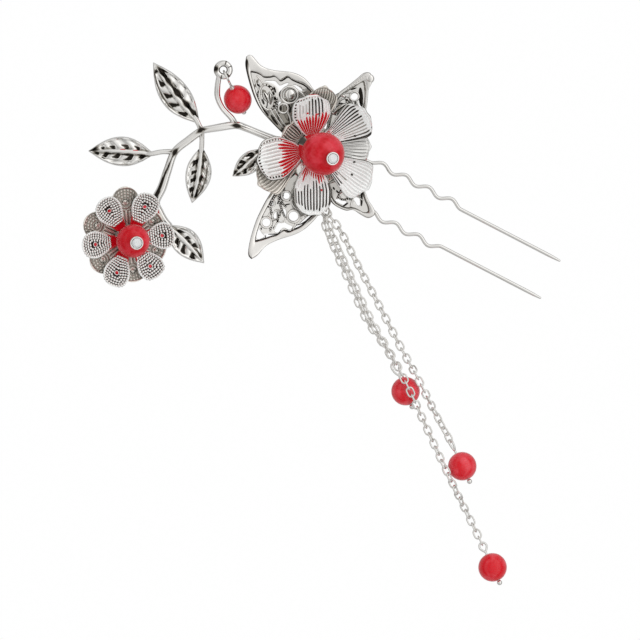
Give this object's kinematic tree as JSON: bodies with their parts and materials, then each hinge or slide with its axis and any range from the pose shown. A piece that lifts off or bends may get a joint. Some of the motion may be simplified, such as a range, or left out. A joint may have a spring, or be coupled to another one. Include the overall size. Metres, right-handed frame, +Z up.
{
  "type": "kanzashi hairpin",
  "caption": "Silver-plated hairpin with a crimped two-leg fork, pierced butterfly, fluted flower, leafy branch with small flower and berry, and chain drops with red beads.",
  "frame": {"origin": "underside of the fork's round solder pad, midway between the legs, on the surface that the hairpin lies on", "axes": "+X along the fork's legs towards their tips, +Z up from the surface, +Y across the legs towards the side of the berry"},
  "size_m": [0.1188, 0.0831, 0.0173],
  "materials": {
    "coral_bead": "glossy coral-red bead, slightly mottled",
    "clear_stone": "clear cut stone",
    "enamelled_silver": "bright silver plate with red enamel at the petal roots",
    "dull_silver": "shaded silver plate",
    "cast_silver": "bright plated casting with dark recesses",
    "pin_wire": "bright plated wire",
    "chain_silver": "bright plated chain",
    "pin_silver": "bright plated pins, posts and cups"
  },
  "bodies": {
    "root": {"pin_fork": "pin_wire", "centre_post": "pin_silver", "butterfly": "cast_silver", "back_flower": "dull_silver", "main_flower": "enamelled_silver", "main_bead": "coral_bead", "main_stone": "clear_stone", "branch": "cast_silver", "small_post": "pin_silver", "small_flower_back": "dull_silver", "small_flower_front": "enamelled_silver", "small_bead": "coral_bead", "small_stone": "clear_stone", "berry_bead": "coral_bead", "berry_pin": "pin_silver", "jump_ring": "chain_silver", "chain_short": "chain_silver", "chain_mid": "chain_silver", "chain_long": "chain_silver", "drop_bead_short": "coral_bead", "drop_bead_mid": "coral_bead", "drop_bead_long": "coral_bead", "drop_pin_short": "pin_silver", "drop_pin_mid": "pin_silver", "drop_pin_long": "pin_silver"}
  },
  "joints": []
}
